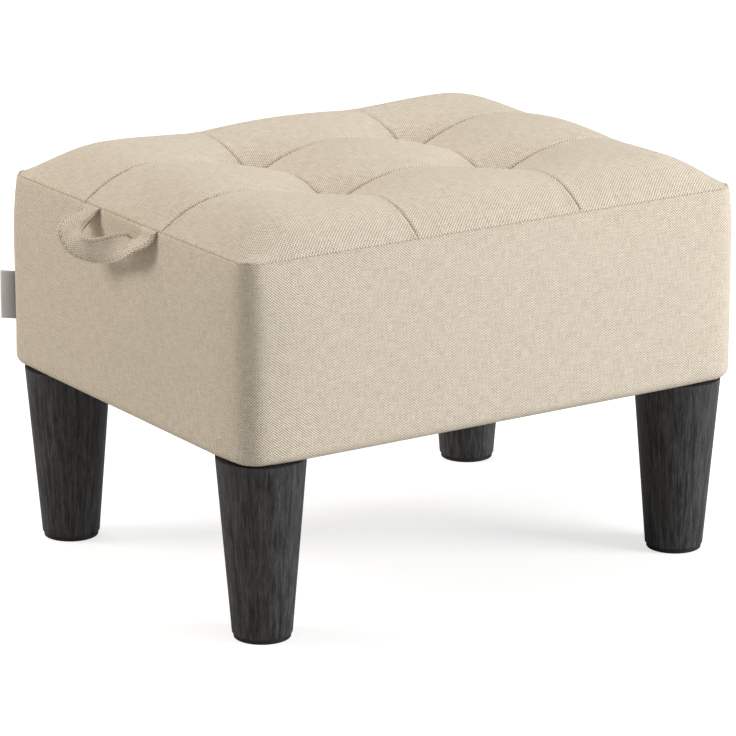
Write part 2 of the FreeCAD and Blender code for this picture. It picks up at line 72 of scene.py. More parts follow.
# Floor and lights
# A white studio floor with three large soft boxes. The main one faces the front of the stool.
# A weaker one lights its left end, so that the corner between them is the darkest place, and
# the weakest one is overhead.
def add_node(tree, kind, inputs=None, **settings):
    made = tree.nodes.new(kind)
    for name, value in settings.items():
        setattr(made, name, value)
    for socket, value in (inputs or {}).items():
        if isinstance(value, bpy.types.NodeSocket):
            tree.links.new(value, made.inputs[socket])
        else:
            made.inputs[socket].default_value = value
    return made


def new_material(name):
    material = bpy.data.materials.new(name)
    material.use_nodes = True
    material.node_tree.nodes.clear()
    return material, material.node_tree


def give_shader(tree, shader):
    output = tree.nodes.new("ShaderNodeOutputMaterial")
    tree.links.new(shader, output.inputs["Surface"])


def make_object(name, mesh_maker):
    mesh = bpy.data.meshes.new(name)
    mesh_maker.to_mesh(mesh)
    mesh_maker.free()
    mesh.shade_smooth()
    made = bpy.data.objects.new(name, mesh)
    bpy.context.scene.collection.objects.link(made)
    return made


floor_size = 6.0
floor_white = (0.62, 0.62, 0.62, 1)
floor_glow = 0.70
world_light = 0.23
fill_colour = (1.0, 0.925, 0.845)

floor_maker = bmesh.new()
bmesh.ops.create_grid(floor_maker, x_segments=1, y_segments=1, size=floor_size)
floor = make_object("floor", floor_maker)
floor_material, tree = new_material("studio_floor")
floor_path = add_node(tree, "ShaderNodeLightPath")
floor_diffuse = add_node(tree, "ShaderNodeBsdfDiffuse", {"Color": floor_white})
seen = add_node(tree, "ShaderNodeMath", {0: floor_path.outputs["Is Camera Ray"], 1: floor_glow},
                operation="MULTIPLY")
floor_lit = add_node(tree, "ShaderNodeEmission", {"Color": (1, 1, 1, 1), "Strength": seen.outputs[0]})
floor_sum = add_node(tree, "ShaderNodeAddShader", {0: floor_diffuse.outputs[0], 1: floor_lit.outputs[0]})
give_shader(tree, floor_sum.outputs[0])
floor.data.materials.append(floor_material)

world = bpy.data.worlds.new("studio")
world.use_nodes = True
bpy.context.scene.world = world
tree = world.node_tree
tree.nodes.clear()
world_path = add_node(tree, "ShaderNodeLightPath")
lit = add_node(tree, "ShaderNodeBackground", {"Color": (*fill_colour, 1), "Strength": world_light})
shown = add_node(tree, "ShaderNodeBackground", {"Color": (1, 1, 1, 1), "Strength": 1.0})
world_mix = add_node(tree, "ShaderNodeMixShader", {
    0: world_path.outputs["Is Camera Ray"], 1: lit.outputs[0], 2: shown.outputs[0]})
world_output = tree.nodes.new("ShaderNodeOutputWorld")
tree.links.new(world_mix.outputs[0], world_output.inputs["Surface"])


def add_soft_box(name, place, target, size, power, colour=(1.0, 1.0, 1.0)):
    data = bpy.data.lights.new(name, "AREA")
    data.size = size
    data.energy = power
    data.color = colour
    lamp = bpy.data.objects.new(name, data)
    lamp.location = place
    lamp.rotation_euler = (Vector(target) - Vector(place)).to_track_quat("-Z", "Y").to_euler()
    bpy.context.scene.collection.objects.link(lamp)


stool_middle = (0.0, 0.0, 0.2)
add_soft_box("front_box", (1.7, -1.9, 1.0), stool_middle, 1.2, 63.0)
add_soft_box("left_box", (-2.1, 1.4, 1.7), stool_middle, 1.2, 42.0, fill_colour)
add_soft_box("top_box", (0.2, 1.0, 2.4), stool_middle, 1.6, 24.0)


# Upholstery cloth
# A thick beige linen-look cloth in a plain weave: light yarns that cross over and under each
# other about every two millimetres, dark gaps between them, and slubs along both yarn directions.
weave_period_along = 0.00228
weave_period_up = 0.00177
weave_depth = 0.00030
crossing_contrast = 0.56
slub_contrast = 0.55
middle_tone = 0.60
slub_height = 0.8
cloth_light = (0.940, 0.858, 0.730, 1)
cloth_dark = (0.340, 0.280, 0.200, 1)


def slub(tree, coordinates, scale):
    stretched = add_node(tree, "ShaderNodeMapping", {"Vector": coordinates, "Scale": scale})
    return add_node(tree, "ShaderNodeTexNoise", {
        "Vector": stretched.outputs[0], "Scale": 1.0, "Detail": 2.0, "Roughness": 0.6}).outputs["Fac"]


def math(tree, operation, first, second=0.0):
    return add_node(tree, "ShaderNodeMath", {0: first, 1: second}, operation=operation).outputs[0]


def wave(tree, value, period):
    return math(tree, "SINE", math(tree, "MULTIPLY", value, 2 * pi / period))


cloth_material, tree = new_material("beige_cloth")
cloth_uv = add_node(tree, "ShaderNodeUVMap", uv_map="cloth").outputs[0]
axes = add_node(tree, "ShaderNodeSeparateXYZ", {0: cloth_uv})
crossings = math(tree, "MULTIPLY", wave(tree, axes.outputs["X"], weave_period_along),
                 wave(tree, axes.outputs["Y"], weave_period_up))
slub_along = slub(tree, cloth_uv, (110.0, 900.0, 1.0))
slub_across = slub(tree, cloth_uv, (900.0, 110.0, 1.0))
slubs = math(tree, "SUBTRACT", math(tree, "ADD", slub_along, slub_across), 1.0)
yarn_tone = math(tree, "ADD", math(tree, "MULTIPLY", crossings, crossing_contrast),
                 math(tree, "MULTIPLY", slubs, slub_contrast))
yarn_tone = math(tree, "ADD", yarn_tone, middle_tone)
cloth_colour = add_node(tree, "ShaderNodeMix", {"Factor": yarn_tone, "A": cloth_dark, "B": cloth_light},
                        data_type="RGBA", clamp_factor=True)
cloth_height = math(tree, "ADD", crossings, math(tree, "MULTIPLY", slubs, slub_height))
cloth_bump = add_node(tree, "ShaderNodeBump", {
    "Strength": 0.6, "Distance": weave_depth, "Height": cloth_height})
cloth_shader = add_node(tree, "ShaderNodeBsdfPrincipled", {
    "Base Color": cloth_colour.outputs["Result"], "Roughness": 0.92, "Normal": cloth_bump.outputs[0],
    "Sheen Weight": 0.08, "Sheen Roughness": 0.5, "Specular IOR Level": 0.2})
give_shader(tree, cloth_shader.outputs[0])


# Tufted top
# Nine panels sewn together over foam and pulled down by four ties where their seams cross.
# Every pillow is an arc that is level at its crest. The panel seams lie in narrow grooves.
half_length = (cover_high[0] - cover_low[0]) / 2
half_width = -cover_low[1]
corner_radius = 0.018
draw_in = 0.0035
seam_z = cover_high[2]
corner_x = half_length - corner_radius
corner_y = half_width - corner_radius
seam_x = half_length - draw_in
seam_y = half_width - draw_in
column_seam_x = 0.065
row_seam_y = 0.050
column_crest_x = 0.140
row_crest_y = 0.110
long_edge_crown = 0.0225
short_edge_crown = 0.025
column_seam_outer_rise = 0.0187
column_seam_centre_rise = 0.0125
row_seam_outer_rise = 0.0208
row_seam_centre_rise = 0.0185
tuft_depth = 0.003
cloth_thickness = 0.0012
seam_groove = 0.0012
seam_groove_width = 0.0005
seam_shoulder = 0.0005
seam_shoulder_place = 0.0026
seam_shoulder_width = 0.0014
pucker_pitch = 0.0085
pucker_height = 0.00020
pucker_reach = 0.005
rim_groove = 0.0009
rim_tuck_width = 0.0008
top_slack_depth = 0.0007
top_slack_scale = 22
slack_margin = 0.02
cloth_step = 0.0026


def crown_drop(distance, span, rise):
    rise = max(rise, 0.00005)
    radius = (span ** 2 + rise ** 2) / (2 * rise)
    return radius - sqrt(radius ** 2 - min(distance, span) ** 2)


def rise_along(x, outer_crest, seam_rise, centre_crest):
    x = abs(x)
    if x <= column_seam_x:
        return centre_crest - crown_drop(x, column_seam_x, centre_crest - seam_rise)
    if x <= column_crest_x:
        return outer_crest - crown_drop(column_crest_x - x, column_crest_x - column_seam_x,
                                        outer_crest - seam_rise)
    return outer_crest - crown_drop(x - column_crest_x, seam_x - column_crest_x, outer_crest)


def pillow_height(x, y):
    """Height of the cushion above the seam round the top."""
    past_corner = max(abs(x) - corner_x, 0.0)
    rim_radius = corner_radius - draw_in
    half_y = corner_y + sqrt(max(rim_radius ** 2 - past_corner ** 2, 0.0))
    outer = rise_along(x, long_edge_crown, column_seam_outer_rise, long_edge_crown)
    centre = rise_along(x, short_edge_crown, column_seam_centre_rise, short_edge_crown)
    row = rise_along(x, row_seam_outer_rise, -tuft_depth, row_seam_centre_rise)
    outer = max(outer, row)
    centre = max(centre, row)
    y = abs(y)
    crest_y = min(row_crest_y, half_y - (seam_y - row_crest_y) / 4)
    if y <= row_seam_y:
        return centre - crown_drop(y, row_seam_y, centre - row)
    if y <= crest_y:
        return outer - crown_drop(crest_y - y, crest_y - row_seam_y, outer - row)
    return outer - crown_drop(y - crest_y, half_y - crest_y, outer)


def into_rounded_plan(x, y, half_x, half_y, radius):
    """Moves a point of a rectangle into the same rectangle with round corners."""
    across = abs(x) - (half_x - radius)
    along = abs(y) - (half_y - radius)
    if across <= 0 or along <= 0:
        return x, y
    round_x = across * sqrt(1 - along ** 2 / (2 * radius ** 2))
    round_y = along * sqrt(1 - across ** 2 / (2 * radius ** 2))
    sign_x = 1 if x > 0 else -1
    sign_y = 1 if y > 0 else -1
    return sign_x * (half_x - radius + round_x), sign_y * (half_y - radius + round_y)


def lines_between(stops, wide_step):
    """Grid lines that close up towards each stop, where a seam or an edge lies."""
    near = (0.0004, 0.0008, 0.0013, 0.0020, 0.0030, 0.0042)
    lines = []
    for start, end in zip(stops, stops[1:]):
        inner_start = start + near[-1]
        inner_end = end - near[-1]
        count = ceil((inner_end - inner_start) / wide_step)
        lines.append(start)
        lines += [start + gap for gap in near]
        lines += [inner_start + (inner_end - inner_start) * step / count for step in range(1, count)]
        lines += [end - gap for gap in reversed(near)]
    lines.append(stops[-1])
    return lines


def seam_dip(distance, along):
    """The groove of a sewn seam, its two shoulders and the puckers of its stitches."""
    groove = -seam_groove * exp(-(distance / seam_groove_width) ** 2)
    shoulder = seam_shoulder * exp(-((distance - seam_shoulder_place) / seam_shoulder_width) ** 2)
    pucker = pucker_height * sin(2 * pi * along / pucker_pitch) * exp(-distance / pucker_reach)
    return groove + shoulder + pucker


def placed_grid(columns, rows, place):
    """A grid whose points are placed by place(column, row), which also gives each one's UV."""
    maker = bmesh.new()
    bmesh.ops.create_grid(maker, x_segments=len(columns) - 1, y_segments=len(rows) - 1, size=1.0)
    layer = maker.loops.layers.uv.new("cloth")
    uv_of = {}
    for point in maker.verts:
        column = columns[round((point.co.x + 1) / 2 * (len(columns) - 1))]
        row = rows[round((point.co.y + 1) / 2 * (len(rows) - 1))]
        point.co, uv_of[point] = place(column, row)
    for face in maker.faces:
        for corner in face.loops:
            corner[layer].uv = uv_of[corner.vert]
    return maker


def place_on_top(column, row):
    x, y = into_rounded_plan(column, row, seam_x, seam_y, corner_radius - draw_in)
    z = pillow_height(x, y)
    z += seam_dip(abs(abs(x) - column_seam_x), y) + seam_dip(abs(abs(y) - row_seam_y), x)
    edge = min(seam_x - abs(column), seam_y - abs(row))
    tucked = exp(-(edge / rim_tuck_width) ** 2)
    slack = noise.noise(Vector((x * top_slack_scale, y * top_slack_scale, 3.0)))
    slack = slack * top_slack_depth * min(edge / slack_margin, 1.0)
    pucker = pucker_height * sin(2 * pi * (x + y) / pucker_pitch) * exp(-edge / pucker_reach)
    shrink = 1 - tucked * rim_groove / half_width
    z = z + slack + pucker * (1 - tucked)
    return Vector((centre_x + x * shrink, y * shrink, seam_z + z * (1 - tucked))), (x, y)


top_columns = lines_between([-seam_x, -column_seam_x, column_seam_x, seam_x], cloth_step)
top_rows = lines_between([-seam_y, -row_seam_y, row_seam_y, seam_y], cloth_step)
top_cloth = make_object("top_cloth", placed_grid(top_columns, top_rows, place_on_top))


def add_thickness(piece, thickness):
    wall = piece.modifiers.new("thickness", "SOLIDIFY")
    wall.thickness = thickness
    wall.offset = -1.0
    wall.use_even_offset = False


def finish_cloth(piece, body, *cad_nodes):
    piece.data.materials.append(cloth_material)
    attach(piece, body)
    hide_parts(*cad_nodes)


add_thickness(top_cloth, cloth_thickness)
finish_cloth(top_cloth, "stool", "cover_top")


# Side cloth and back panel
# One band round the front and both ends, and a panel across the back, seamed at the two back corners.
# The cloth is drawn in towards the top seam, and its hem turns in under the box.
bottom_radius = 0.008
underside_z = cover_low[2]
draw_height = 0.046
draw_start_z = seam_z - draw_height
draw_curve_height = 0.045
hem_width = 0.009
hem_steps = 4
turn_steps = 8
wall_steps = 12
draw_steps = 11
corner_seam_dip = 0.0010
corner_seam_dip_width = 0.0008
corner_seam_fade = 0.004
side_pucker_reach = 0.006
rim_fade = 0.001
side_slack_depth = 0.0006
side_slack_scale = 14
corner_seam_turn = radians(45)
rim_step = 0.004
corner_ease_depths = (0.0012, 0.0005, 0.0, 0.0034)
corner_ease_reach = 0.021
corner_ease_fall = 0.045
draw_radius = (draw_height ** 2 + draw_in ** 2) / (2 * draw_in)
side_length = 2 * corner_x
end_length = 2 * corner_y
turn_length = corner_radius * pi / 2
rim_length = 2 * (side_length + end_length) + 4 * turn_length


def rim_place(distance):
    """Corner-centre point and outward direction at a distance round the rim from the front left turn."""
    distance = distance % rim_length
    stretches = (
        (side_length, (-corner_x, -corner_y), (1, 0), -90),
        (end_length, (corner_x, -corner_y), (0, 1), 0),
        (side_length, (corner_x, corner_y), (-1, 0), 90),
        (end_length, (-corner_x, corner_y), (0, -1), 180),
    )
    for length, start, way, facing in stretches:
        if distance <= length:
            point = (start[0] + way[0] * distance, start[1] + way[1] * distance)
            return point, radians(facing)
        distance -= length
        if distance <= turn_length:
            corner = (start[0] + way[0] * length, start[1] + way[1] * length)
            return corner, radians(facing) + distance / corner_radius
        distance -= turn_length
    return (-corner_x, -corner_y), radians(-90)


def side_profile():
    """Pairs of distance out from a corner's centre and height, from the hem to the top seam."""
    turn_s = corner_radius - bottom_radius
    pairs = [(turn_s - hem_width * (hem_steps - step) / hem_steps, underside_z) for step in range(hem_steps)]
    for step in range(turn_steps + 1):
        angle = radians(-90 + 90 * step / turn_steps)
        pairs.append((turn_s + bottom_radius * cos(angle), underside_z + bottom_radius * (1 + sin(angle))))
    low = underside_z + bottom_radius
    for step in range(1, wall_steps + 1):
        pairs.append((corner_radius, low + (draw_start_z - low) * step / wall_steps))
    for step in range(1, draw_steps + 1):
        rise = draw_curve_height * step / draw_steps
        pairs.append((corner_radius - draw_radius + sqrt(draw_radius ** 2 - rise ** 2), draw_start_z + rise))
    rim_s = corner_radius - draw_in
    pairs.append((rim_s - 0.0002, seam_z - 0.0005))
    pairs.append((rim_s - 0.0006, seam_z - 0.0002))
    pairs.append((rim_s - rim_groove, seam_z))
    return pairs


corner_middles = [side_length, side_length + end_length + turn_length]
corner_middles += [middle + rim_length / 2 for middle in corner_middles]


def corner_ease(distance):
    """How far the padding lets the cloth round a corner more gently, most at the near left one."""
    ease = 0.0
    for middle, depth in zip(corner_middles, corner_ease_depths):
        gap = (distance - middle - turn_length / 2 + rim_length / 2) % rim_length - rim_length / 2
        ease += depth * exp(-(gap / corner_ease_reach) ** 2)
    return ease


profile = side_profile()
profile_length = [0.0]
for (s0, z0), (s1, z1) in zip(profile, profile[1:]):
    profile_length.append(profile_length[-1] + sqrt((s1 - s0) ** 2 + (z1 - z0) ** 2))


def rim_cloth(name, start, end):
    """A stretch of the side cloth whose two ends dip into their corner seams."""
    count = ceil((end - start) / rim_step)
    near = [0.0, 0.0005, 0.0010, 0.0018, 0.0030]
    middle = [start + 0.003 + (end - start - 0.006) * step / count for step in range(1, count)]
    stations = [start + gap for gap in near] + middle + [end - gap for gap in reversed(near)]

    def place(distance, level):
        (x, y), facing = rim_place(distance)
        s, z = profile[level]
        below_seam = seam_z - z
        from_end = min(distance - start, end - distance)
        dip = corner_seam_dip * exp(-(from_end / corner_seam_dip_width) ** 2)
        s -= dip * min(below_seam / corner_seam_fade, 1.0)
        s -= corner_ease(distance) * sin(min(below_seam / corner_ease_fall, 1.0) * pi / 2)
        loose = min(below_seam / slack_margin, 1.0) * min(max(z - underside_z, 0.0) / slack_margin, 1.0)
        ripple = Vector((x * side_slack_scale + cos(facing), y * side_slack_scale + sin(facing),
                         z * side_slack_scale))
        s += noise.noise(ripple) * side_slack_depth * loose
        pucker = pucker_height * sin(2 * pi * distance / pucker_pitch)
        s += pucker * exp(-below_seam / side_pucker_reach) * min(below_seam / rim_fade, 1.0)
        spot = Vector((centre_x + x + s * cos(facing), y + s * sin(facing), z))
        return spot, (distance, profile_length[level])

    piece = make_object(name, placed_grid(stations, list(range(len(profile))), place))
    add_thickness(piece, cloth_thickness)
    return piece


back_right_seam = side_length + turn_length + end_length + corner_radius * corner_seam_turn
back_left_seam = (2 * side_length + 2 * turn_length + end_length + corner_radius * corner_seam_turn)
band_end = back_right_seam + rim_length
side_cloth = rim_cloth("side_cloth", back_left_seam, band_end)
finish_cloth(side_cloth, "stool", "cover_side_band")
back_cloth = rim_cloth("back_cloth", back_right_seam, back_left_seam)
finish_cloth(back_cloth, "stool", "cover_back_panel")


# Seam stitches
# Strong thread a little darker than the cloth, seen as short dashes at the bottom of the seams.
stitch_pitch = 0.0032
stitch_length = 0.0020
stitch_radius = 0.00034
stitch_end_gap = 0.004
thread_dark = (0.52, 0.44, 0.34, 1)
thread_light = (0.66, 0.57, 0.45, 1)

thread_material, tree = new_material("seam_thread")
thread_place = add_node(tree, "ShaderNodeTexCoord").outputs["Object"]
thread_noise = add_node(tree, "ShaderNodeTexNoise", {"Vector": thread_place, "Scale": 900.0, "Detail": 1.0})
thread_tint = add_node(tree, "ShaderNodeMix", {
    "Factor": thread_noise.outputs["Fac"], "A": thread_dark, "B": thread_light}, data_type="RGBA")
thread_bump = add_node(tree, "ShaderNodeBump", {
    "Strength": 0.4, "Distance": 0.0001, "Height": thread_noise.outputs["Fac"]})
thread_shader = add_node(tree, "ShaderNodeBsdfPrincipled", {
    "Base Color": thread_tint.outputs["Result"], "Roughness": 0.7, "Normal": thread_bump.outputs[0]})
give_shader(tree, thread_shader.outputs[0])


def sew(name, places, body):
    """One short capsule of thread at each place, along its direction."""
    maker = bmesh.new()
    for middle, way in places:
        turn = Vector(way).to_track_quat("Z", "Y").to_matrix().to_4x4()
        bmesh.ops.create_cone(maker, segments=6, radius1=stitch_radius, radius2=stitch_radius,
                              depth=stitch_length, cap_ends=True,
                              matrix=Matrix.Translation(middle) @ turn)
    piece = make_object(name, maker)
    piece.data.materials.append(thread_material)
    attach(piece, body)
    return piece


rim_places = []
for step in range(int(rim_length / stitch_pitch)):
    (x, y), facing = rim_place(step * stitch_pitch)
    out = corner_radius - draw_in - rim_groove
    middle = Vector((centre_x + x + out * cos(facing), y + out * sin(facing), seam_z))
    rim_places.append((middle, (-sin(facing), cos(facing), 0.0)))
sew("rim_stitches", rim_places, "stool")


def stitch_run(fixed, half_run, lengthways):
    """Stitches along one panel seam, at the bottom of its groove."""
    places = []
    for step in range(int(2 * half_run / stitch_pitch)):
        along = -half_run + (step + 0.5) * stitch_pitch
        x, y = (along, fixed) if lengthways else (fixed, along)
        way = (1.0, 0.0) if lengthways else (0.0, 1.0)
        reach = stitch_length / 2
        before = pillow_height(x - way[0] * reach, y - way[1] * reach)
        after = pillow_height(x + way[0] * reach, y + way[1] * reach)
        middle = Vector((centre_x + x, y, seam_z + (before + after) / 2 - seam_groove + seam_shoulder * 0.2))
        places.append((middle, (way[0], way[1], (after - before) / stitch_length)))
    return places


panel_places = []
for sign in (-1, 1):
    panel_places += stitch_run(sign * column_seam_x, seam_y - stitch_end_gap, False)
    panel_places += stitch_run(sign * row_seam_y, seam_x - stitch_end_gap, True)
sew("panel_stitches", panel_places, "stool")


# Carrying strap
# A folded strip of the same cloth, 19 mm wide, sewn into the top seam at both ends and
# stitched along both edges. The band between its ends stands out from the side as a loop.
strap_width = 0.019
strap_thickness = 0.0028
strap_offset = 0.0016
strap_reach = 0.0224
strap_half_span = 0.0385
strap_drop = 0.0204
strap_route = (
    ((0.0, -0.935, 0.0), (0.0, -1.0, 0.0)),
    ((0.054, -0.935, 0.221), (0.0, -1.0, 0.0)),
    ((0.196, -0.896, 0.407), (0.15, -0.97, 0.1)),
    ((0.344, -0.753, 0.549), (0.5, -0.8, 0.3)),
    ((0.442, -0.532, 0.637), (0.35, -0.35, 0.85)),
    ((0.554, -0.234, 0.843), (-0.1, -0.1, 1.0)),
    ((0.732, 0.078, 1.0), (-0.35, 0.0, 0.94)),
    ((0.924, 0.338, 0.99), (-0.2, 0.2, 0.95)),
    ((1.0, 0.61, 0.814), (0.4, 0.5, 0.75)),
    ((0.844, 0.844, 0.529), (0.74, 0.64, 0.1)),
    ((0.442, 0.974, 0.324), (0.35, 0.93, -0.05)),
    ((0.134, 1.0, 0.225), (0.0, 1.0, 0.0)),
    ((0.0, 1.0, 0.0), (0.0, 1.0, 0.0)),
)
strap_tuck = 0.0022
strap_tuck_share = 0.03
strap_steps = 132
section_steps = 40
edge_roundness = 0.35
face_roundness = 0.55
edge_stitch_inset = 0.0022
edge_stitch_groove_width = 0.0007
edge_stitch_groove_share = 0.28
layer_slit_share = 0.035
layer_slit_width = 0.00025
edge_stitch_count = 42
edge_stitch_lift = 0.37
strap_sample = 0.004
edge_stitch_sample = 0.005


strap_points = []
strap_widths = []
for (out, along, below), (width_out, width_along, width_below) in strap_route:
    point = (-strap_offset - out * strap_reach, along * strap_half_span, -below * strap_drop)
    strap_points.append(Vector(point))
    strap_widths.append(Vector((-width_out, width_along, -width_below)).normalized())


def between(values, share):
    """A smooth curve through a list of vectors, at a share of the way along it."""
    spot = min(share * (len(values) - 1), len(values) - 1.000001)
    index = int(spot)
    t = spot - index
    first = values[max(index - 1, 0)]
    last = values[min(index + 2, len(values) - 1)]
    start = values[index]
    end = values[index + 1]
    return 0.5 * (2 * start + (end - first) * t + (2 * first - 5 * start + 4 * end - last) * t ** 2
                  + (3 * start - first - 3 * end + last) * t ** 3)


def strap_frame(share):
    """Middle of the band, and the directions of its width and thickness."""
    middle = between(strap_points, share)
    ahead = between(strap_points, min(share + strap_sample, 1.0))
    travel = ahead - between(strap_points, max(share - strap_sample, 0.0))
    width = between(strap_widths, share).normalized()
    thick = travel.cross(width).normalized()
    tuck = max(1 - share / strap_tuck_share, 0.0) + max(1 - (1 - share) / strap_tuck_share, 0.0)
    middle = middle + Vector((strap_tuck * tuck, 0.0, 0.0))
    return middle + Vector((centre_x - seam_x, 0.0, seam_z)), width, thick


def strap_outline(angle):
    """A point of the band's section: flat faces, rounded edges, a slit where the two layers meet."""
    across = abs(cos(angle)) ** edge_roundness * (1 if cos(angle) >= 0 else -1)
    through = abs(sin(angle)) ** face_roundness * (1 if sin(angle) >= 0 else -1)
    across *= strap_width / 2
    through *= strap_thickness / 2
    from_edge = strap_width / 2 - abs(across)
    sewn = exp(-((from_edge - edge_stitch_inset) / edge_stitch_groove_width) ** 2)
    across *= 1 - layer_slit_share * exp(-(through / layer_slit_width) ** 2)
    return across, through * (1 - edge_stitch_groove_share * sewn)


strap_shares = [step / strap_steps for step in range(strap_steps + 1)]
strap_middles = [strap_frame(share)[0] for share in strap_shares]
strap_runs = [0.0]
for start, end in zip(strap_middles, strap_middles[1:]):
    strap_runs.append(strap_runs[-1] + (end - start).length)


def place_on_strap(share, turn):
    middle, width, thick = strap_frame(share)
    across, through = strap_outline(turn * 2 * pi)
    spot = middle + width * across + thick * through
    return spot, (strap_runs[round(share * strap_steps)], across + through)


section_turns = [step / section_steps for step in range(section_steps + 1)]
strap_maker = placed_grid(strap_shares, section_turns, place_on_strap)
bmesh.ops.remove_doubles(strap_maker, verts=strap_maker.verts, dist=0.000001)
bmesh.ops.holes_fill(strap_maker, edges=[edge for edge in strap_maker.edges if edge.is_boundary])
bmesh.ops.recalc_face_normals(strap_maker, faces=strap_maker.faces)
strap_cloth = make_object("strap_cloth", strap_maker)
finish_cloth(strap_cloth, "strap", "carry_strap")

strap_places = []
for step in range(2, edge_stitch_count - 1):
    share = step / edge_stitch_count
    middle, width, thick = strap_frame(share)
    ahead = strap_frame(share + edge_stitch_sample)[0] - strap_frame(share - edge_stitch_sample)[0]
    for edge in (-1, 1):
        for face in (-1, 1):
            spot = middle + width * edge * (strap_width / 2 - edge_stitch_inset)
            lift = thick * face * strap_thickness * edge_stitch_lift
            strap_places.append((spot + lift, ahead.normalized()))
sew("strap_stitches", strap_places, "strap")


# Side label
# A short satin ribbon folded double and caught in the back left corner seam. It is bare.
label_height = 0.034
label_bottom = 0.155
label_root = corner_radius + 0.00015
label_reach = 0.011
label_half_gap = 0.00055
label_wave = 0.0004
label_thickness = 0.00022
label_steps = 26
label_rows = 20
satin_rib_pitch = 0.00035
satin_streak_contrast = 0.3
# Painted shade and painted highlight: the satin goes from grey at its root to near white at the fold.
satin_shade = (0.30, 0.30, 0.31, 1)
satin_painted_highlight = (0.88, 0.88, 0.88, 1)

label_material, tree = new_material("grey_satin")
label_uv = add_node(tree, "ShaderNodeUVMap", uv_map="cloth").outputs[0]
satin_axes = add_node(tree, "ShaderNodeSeparateXYZ", {0: label_uv})
satin_rib = math(tree, "SINE", math(tree, "MULTIPLY", satin_axes.outputs["Y"], 2 * pi / satin_rib_pitch))
satin_noise = slub(tree, label_uv, (2500.0, 160.0, 1.0))
# Painted highlight: the tone rises from the root to the fold and stands in for the satin's sheen, with
# random streaks on top.
from_fold = math(tree, "ABSOLUTE", math(tree, "SUBTRACT", satin_axes.outputs["X"], label_reach))
painted_highlight_and_streaks = math(tree, "SUBTRACT", 1.0, math(tree, "MULTIPLY", from_fold, 1 / label_reach))
satin_streaks = math(tree, "MULTIPLY", math(tree, "SUBTRACT", satin_noise, 0.5), satin_streak_contrast)
painted_highlight_and_streaks = math(tree, "ADD", painted_highlight_and_streaks, satin_streaks)
satin_tone_with_painted_highlight = add_node(tree, "ShaderNodeMix", {
    "Factor": painted_highlight_and_streaks, "A": satin_shade, "B": satin_painted_highlight},
    data_type="RGBA", clamp_factor=True)
satin_bump = add_node(tree, "ShaderNodeBump", {"Strength": 0.3, "Distance": 0.00005, "Height": satin_rib})
satin_shader = add_node(tree, "ShaderNodeBsdfPrincipled", {
    "Base Color": satin_tone_with_painted_highlight.outputs["Result"], "Roughness": 0.38, "Normal": satin_bump.outputs[0],
    "Sheen Weight": 0.3})
give_shader(tree, satin_shader.outputs[0])


def place_on_label(along, level):
    """Out to the fold, round it and back, with a slight wave down the label's height."""
    reach = label_reach - label_half_gap
    fold = pi * label_half_gap
    total = 2 * reach + fold
    run = along * total
    if run <= reach:
        out, aside = run, -label_half_gap
    elif run <= reach + fold:
        angle = (run - reach) / label_half_gap - pi / 2
        out, aside = reach + label_half_gap * cos(angle), label_half_gap * sin(angle)
    else:
        out, aside = reach - (run - reach - fold), label_half_gap
    aside += label_wave * sin(level * 5.0) * out / reach
    facing = radians(135)
    x = -corner_x + (label_root + out) * cos(facing) - aside * sin(facing)
    y = corner_y + (label_root + out) * sin(facing) + aside * cos(facing)
    return Vector((centre_x + x, y, label_bottom + label_height * level)), (run, label_height * level)


label_runs = [step / label_steps for step in range(label_steps + 1)]
label_levels = [step / label_rows for step in range(label_rows + 1)]
side_label = make_object("label_ribbon", placed_grid(label_runs, label_levels, place_on_label))
add_thickness(side_label, label_thickness)
side_label.data.materials.append(label_material)
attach(side_label, "stool")
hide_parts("side_label")


# Foam
# The seat foam has the tufted form of the cloth over it, and a strip of foam pads the walls.
foam_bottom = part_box("seat_foam")[0][2]
foam_inset = 0.0015
foam_rim_drop = 0.006
foam_light = (0.86, 0.80, 0.60, 1)
foam_dark = (0.70, 0.63, 0.44, 1)

foam_material, tree = new_material("open_cell_foam")
foam_place = add_node(tree, "ShaderNodeTexCoord").outputs["Object"]
cells = add_node(tree, "ShaderNodeTexVoronoi", {"Vector": foam_place, "Scale": 900.0})
foam_tint = add_node(tree, "ShaderNodeMix", {
    "Factor": cells.outputs["Distance"], "A": foam_dark, "B": foam_light}, data_type="RGBA")
foam_bump = add_node(tree, "ShaderNodeBump", {
    "Strength": 0.6, "Distance": 0.0004, "Height": cells.outputs["Distance"]})
foam_shader = add_node(tree, "ShaderNodeBsdfPrincipled", {
    "Base Color": foam_tint.outputs["Result"], "Roughness": 0.95, "Normal": foam_bump.outputs[0]})
give_shader(tree, foam_shader.outputs[0])


def place_on_foam(column, row):
    x, y = into_rounded_plan(column, row, seam_x - foam_inset, seam_y - foam_inset,
                             corner_radius - draw_in - foam_inset)
    z = max(pillow_height(x, y) - foam_inset - cloth_thickness, -foam_rim_drop)
    return Vector((centre_x + x, y, seam_z + z)), (x, y)


foam_columns = [(-1 + step / 40) * (seam_x - foam_inset) for step in range(81)]
foam_rows = [(-1 + step / 32) * (seam_y - foam_inset) for step in range(65)]
foam_maker = placed_grid(foam_columns, foam_rows, place_on_foam)
rim_edges = [edge for edge in foam_maker.edges if edge.is_boundary]
skirt = bmesh.ops.extrude_edge_only(foam_maker, edges=rim_edges)
for element in skirt["geom"]:
    if isinstance(element, bmesh.types.BMVert):
        element.co.z = foam_bottom
floor_edges = [edge for edge in foam_maker.edges if edge.is_boundary]
bmesh.ops.holes_fill(foam_maker, edges=floor_edges)
bmesh.ops.recalc_face_normals(foam_maker, faces=foam_maker.faces)
foam_block = make_object("foam_block", foam_maker)
foam_block.data.materials.append(foam_material)
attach(foam_block, "stool")
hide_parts("seat_foam")

